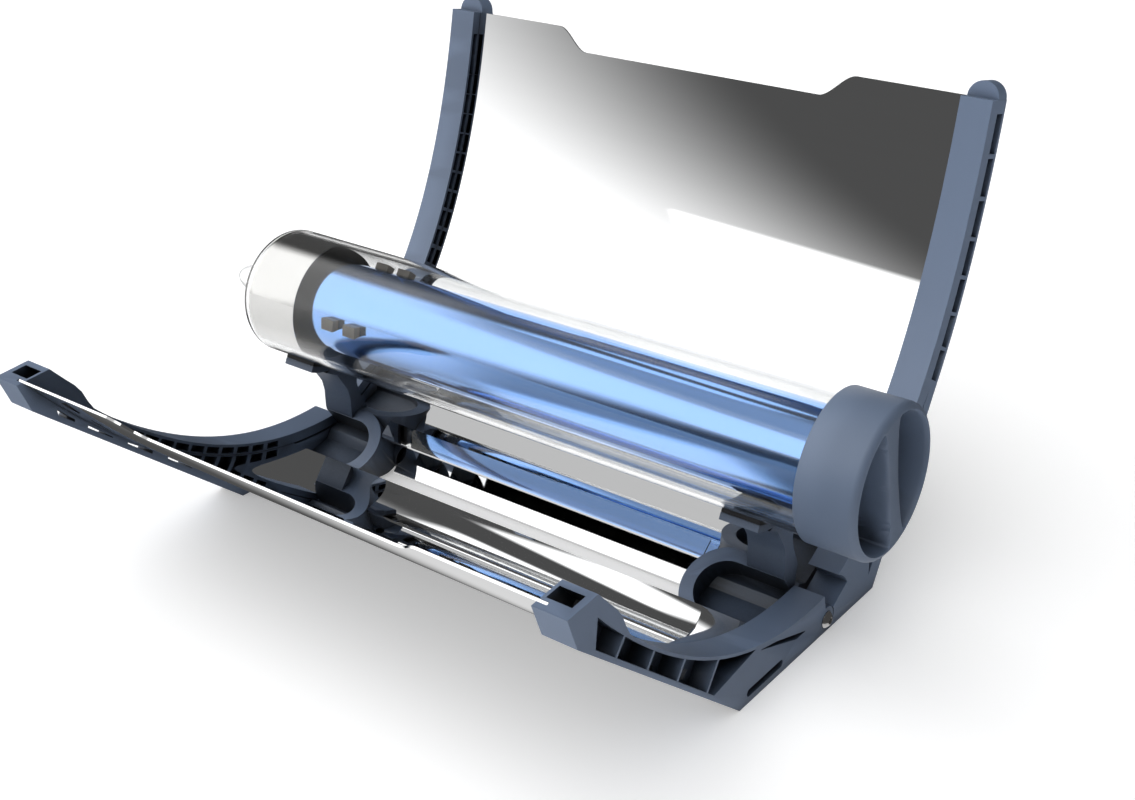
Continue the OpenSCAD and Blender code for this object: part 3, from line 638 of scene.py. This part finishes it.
cap = cap_skin()
cap.data.materials.append(cap_silicone)
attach(cap, "cap_and_tray")
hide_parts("cap")
print("cap radius", round(cap_r, 4), "faces", len(cap.data.polygons))

# %% [markdown]
# Small metal parts, pads, plug and tray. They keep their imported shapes, and a loop gives each one
# its body, its material and the width of its rounded edge. Making them anew would add nothing,
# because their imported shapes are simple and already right.

# %% Metal parts, pads, plug and tray
for node, body, mat, width in (
        ("hinge_screws", "rear_frame", stainless, 0.25 * MM),
        ("hinge_nuts", "rear_frame", stainless, 0.2 * MM),
        ("hinge_washers", "rear_frame", stainless, 0),
        ("left_tube_pad", "tube_cradle", soft_pad, 0.2 * MM),
        ("right_tube_pad", "tube_cradle", soft_pad, 0.2 * MM),
        ("plug", "cap_and_tray", soft_pad, 0.4 * MM),
        ("plug_disc", "cap_and_tray", stainless, 0),
        ("tray_rod", "cap_and_tray", stainless, 0.2 * MM),
        ("rod_nut", "cap_and_tray", stainless, 0.2 * MM),
        ("cooking_tray", "cap_and_tray", stainless, 0.1 * MM)):
    part = softened(node, node + "_finished", width, body)
    part.data.materials.clear()
    part.data.materials.append(mat)
    print(part.name, "on", body)

# %% [markdown]
# The studio. Polished metal shows its surroundings more than itself, so the room matters as much
# as the mirrors. The photograph's reflections tell which parts of the room were bright. Directions
# are given as left, the angle round from the front towards the left, and up, the angle above the
# horizon. A dark room holds one large soft box that reaches from high on the right down to the
# left, with soft lower and left edges, and with a top that polished metal sees dimmer. Two small
# boxes stand beside it, and far below is a pale floor. Lamps could light the scene, but a mirror
# would then show only black between them, so the whole room is one map of brightness. It isn't one
# physical light: matte pieces get it stronger, and the camera sees plain white behind the object.

# %% Room, floor and background
ROOM_DARK, BOX_LIGHT, LOW_LIGHT, TOP_SHARE = 0.076, 1.5, 0.7, 0.33
MATTE_GAIN, MIRRORED = 1.8, 0.12
FLOOR_SIZE, FLOOR_COLOUR, FLOOR_GLOW = 6.0, (0.86, 0.862, 0.866, 1), 0.35
SLANT_PER_LEFT, SLANT_FADE = 1.43, (47.5, 75.5)
RISE_PER_LEFT, RISE_FADE, HARD_LEFT_FADE = 1 / 3, (26.5, 27.5), (33.5, 32.5)
LEFT_END_FADE, RIGHT_END_FADE, FOOT_FADE = (118, 96), (-75, -45), (-30, -10)
TOP_FADE, LOW_FADE = (47, 52), (-33, -42)
SMALL_BOXES = ((105, 117, 50, 62), (127, 137, 45, 55))


def math_node(tree, kind, a, b=None):
    """One sum of one or two values, each a number or a socket."""
    node = tree.nodes.new("ShaderNodeMath")
    node.operation = kind
    for i, value in enumerate((a, b)):
        if value is None:
            continue
        if isinstance(value, (int, float)):
            node.inputs[i].default_value = value
        else:
            tree.links.new(value, node.inputs[i])
    return node.outputs[0]


def fade(tree, value, low, high):
    """Rises smoothly from 0 at low to 1 at high. With low above high it falls."""
    node = tree.nodes.new("ShaderNodeMapRange")
    node.interpolation_type = "SMOOTHSTEP"
    node.inputs["From Min"].default_value = low
    node.inputs["From Max"].default_value = high
    tree.links.new(value, node.inputs["Value"])
    return node.outputs["Result"]


def product(tree, *factors):
    """All factors multiplied."""
    result = factors[0]
    for factor in factors[1:]:
        result = math_node(tree, "MULTIPLY", result, factor)
    return result


def window(tree, value, low, high):
    """1 between low and high and 0 outside, with edges one degree soft each way."""
    return product(tree, fade(tree, value, low - 1, low + 1), fade(tree, value, high + 1, high - 1))


def room_map(tree, matte):
    """The room's brightness in the direction of a ray. Polished metal sees a dimmer top than matte
    pieces do."""
    coords = tree.nodes.new("ShaderNodeTexCoord")
    split = tree.nodes.new("ShaderNodeSeparateXYZ")
    tree.links.new(coords.outputs["Generated"], split.inputs[0])
    x, y, z = split.outputs
    leftward, frontward = math_node(tree, "MULTIPLY", x, -1), math_node(tree, "MULTIPLY", y, -1)
    left = math_node(tree, "MULTIPLY", math_node(tree, "ARCTAN2", leftward, frontward), 180 / math.pi)
    up = math_node(tree, "MULTIPLY", math_node(tree, "ARCSINE", z), 180 / math.pi)
    slant = math_node(tree, "ADD", math_node(tree, "MULTIPLY", left, SLANT_PER_LEFT), up)
    soft_edge = fade(tree, slant, *SLANT_FADE)
    rise = math_node(tree, "ADD", up, math_node(tree, "MULTIPLY", left, RISE_PER_LEFT))
    hard_edge = product(tree, fade(tree, rise, *RISE_FADE), fade(tree, left, *HARD_LEFT_FADE))
    lit = product(tree, math_node(tree, "MAXIMUM", soft_edge, hard_edge), fade(tree, left, *LEFT_END_FADE),
                  fade(tree, left, *RIGHT_END_FADE), fade(tree, up, *FOOT_FADE))
    dimmer = product(tree, fade(tree, up, *TOP_FADE), math_node(tree, "SUBTRACT", 1.0, matte), 1 - TOP_SHARE)
    lit = product(tree, lit, math_node(tree, "SUBTRACT", 1.0, dimmer))
    for left_0, left_1, up_0, up_1 in SMALL_BOXES:
        box = product(tree, window(tree, left, left_0, left_1), window(tree, up, up_0, up_1))
        lit = math_node(tree, "MAXIMUM", lit, box)
    below = math_node(tree, "MULTIPLY", fade(tree, up, *LOW_FADE), LOW_LIGHT - ROOM_DARK)
    return math_node(tree, "ADD", math_node(tree, "MULTIPLY", lit, BOX_LIGHT - ROOM_DARK),
                     math_node(tree, "ADD", below, ROOM_DARK))


def room():
    """White to the camera, also straight through glass. Reflections see the room, and matte surfaces
    are lit by the same room at a gain that makes a colour render about as it is written. Of the
    light that a mirror throws back on matte pieces, only a share counts, so that hollows stay dark."""
    world = bpy.data.worlds.new("studio_room")
    bpy.context.scene.world = world
    world.use_nodes = True
    tree = world.node_tree
    background = tree.nodes["Background"]
    background.inputs["Color"].default_value = (1, 1, 1, 1)
    path = tree.nodes.new("ShaderNodeLightPath")
    matte = path.outputs["Is Diffuse Ray"]
    brightness = room_map(tree, matte)
    gain = math_node(tree, "ADD", 1.0, math_node(tree, "MULTIPLY", matte, MATTE_GAIN - 1))
    after_matte = math_node(tree, "GREATER_THAN", path.outputs["Diffuse Depth"], 0.5)
    mirrored = product(tree, path.outputs["Is Glossy Ray"], after_matte)
    lost = math_node(tree, "MULTIPLY", mirrored, 1 - MIRRORED)
    gain = product(tree, gain, math_node(tree, "SUBTRACT", 1.0, lost))
    straight = math_node(tree, "LESS_THAN", path.outputs["Glossy Depth"], 0.5)
    through = product(tree, path.outputs["Is Transmission Ray"], straight)
    seen = math_node(tree, "MAXIMUM", path.outputs["Is Camera Ray"], through)
    final = tree.nodes.new("ShaderNodeMix")
    final.inputs["B"].default_value = 1.0
    tree.links.new(seen, final.inputs["Factor"])
    tree.links.new(product(tree, brightness, gain), final.inputs["A"])
    tree.links.new(final.outputs["Result"], background.inputs["Strength"])


def floor():
    """The open floor clips to white. Mirrors see the room's own lower half instead of this sheet."""
    corners = np.array([[-1, -1, 0], [1, -1, 0], [1, 1, 0], [-1, 1, 0]]) * FLOOR_SIZE
    obj = mesh_piece("studio_floor", corners, [[0, 1, 2, 3]])
    mat, tree, shader = new_material("studio_floor_white")
    shader.inputs["Base Color"].default_value = FLOOR_COLOUR
    shader.inputs["Roughness"].default_value = 0.9
    shader.inputs["Specular IOR Level"].default_value = 0.1
    shader.inputs["Emission Color"].default_value = (1, 1, 1, 1)
    shader.inputs["Emission Strength"].default_value = FLOOR_GLOW
    obj.data.materials.append(mat)
    obj.visible_glossy = False


room()
floor()
print("room: dark", ROOM_DARK, "soft box", BOX_LIGHT, "gain on matte surfaces", MATTE_GAIN)

# %% [markdown]
# The camera stands where the photograph was taken: in front, to the right and above. Its place was
# found by matching the model to the photograph. It could be aimed with a constraint, but plain
# angles are easier to read and to match.

# %% Camera
CAMERA_AT = (0.3812, -0.46607, 0.3652)
PITCH_DOWN, TURN = 25.9, 37.2
camera_data = bpy.data.cameras.new("photo_camera")
camera_data.lens = 50
camera_data.sensor_width = 36
camera = bpy.data.objects.new("photo_camera", camera_data)
bpy.context.scene.collection.objects.link(camera)
camera.location = CAMERA_AT
camera.rotation_euler = (math.radians(90 - PITCH_DOWN), 0, math.radians(TURN))
bpy.context.scene.camera = camera
bpy.context.scene.view_settings.view_transform = "Standard"
print("camera at", CAMERA_AT)
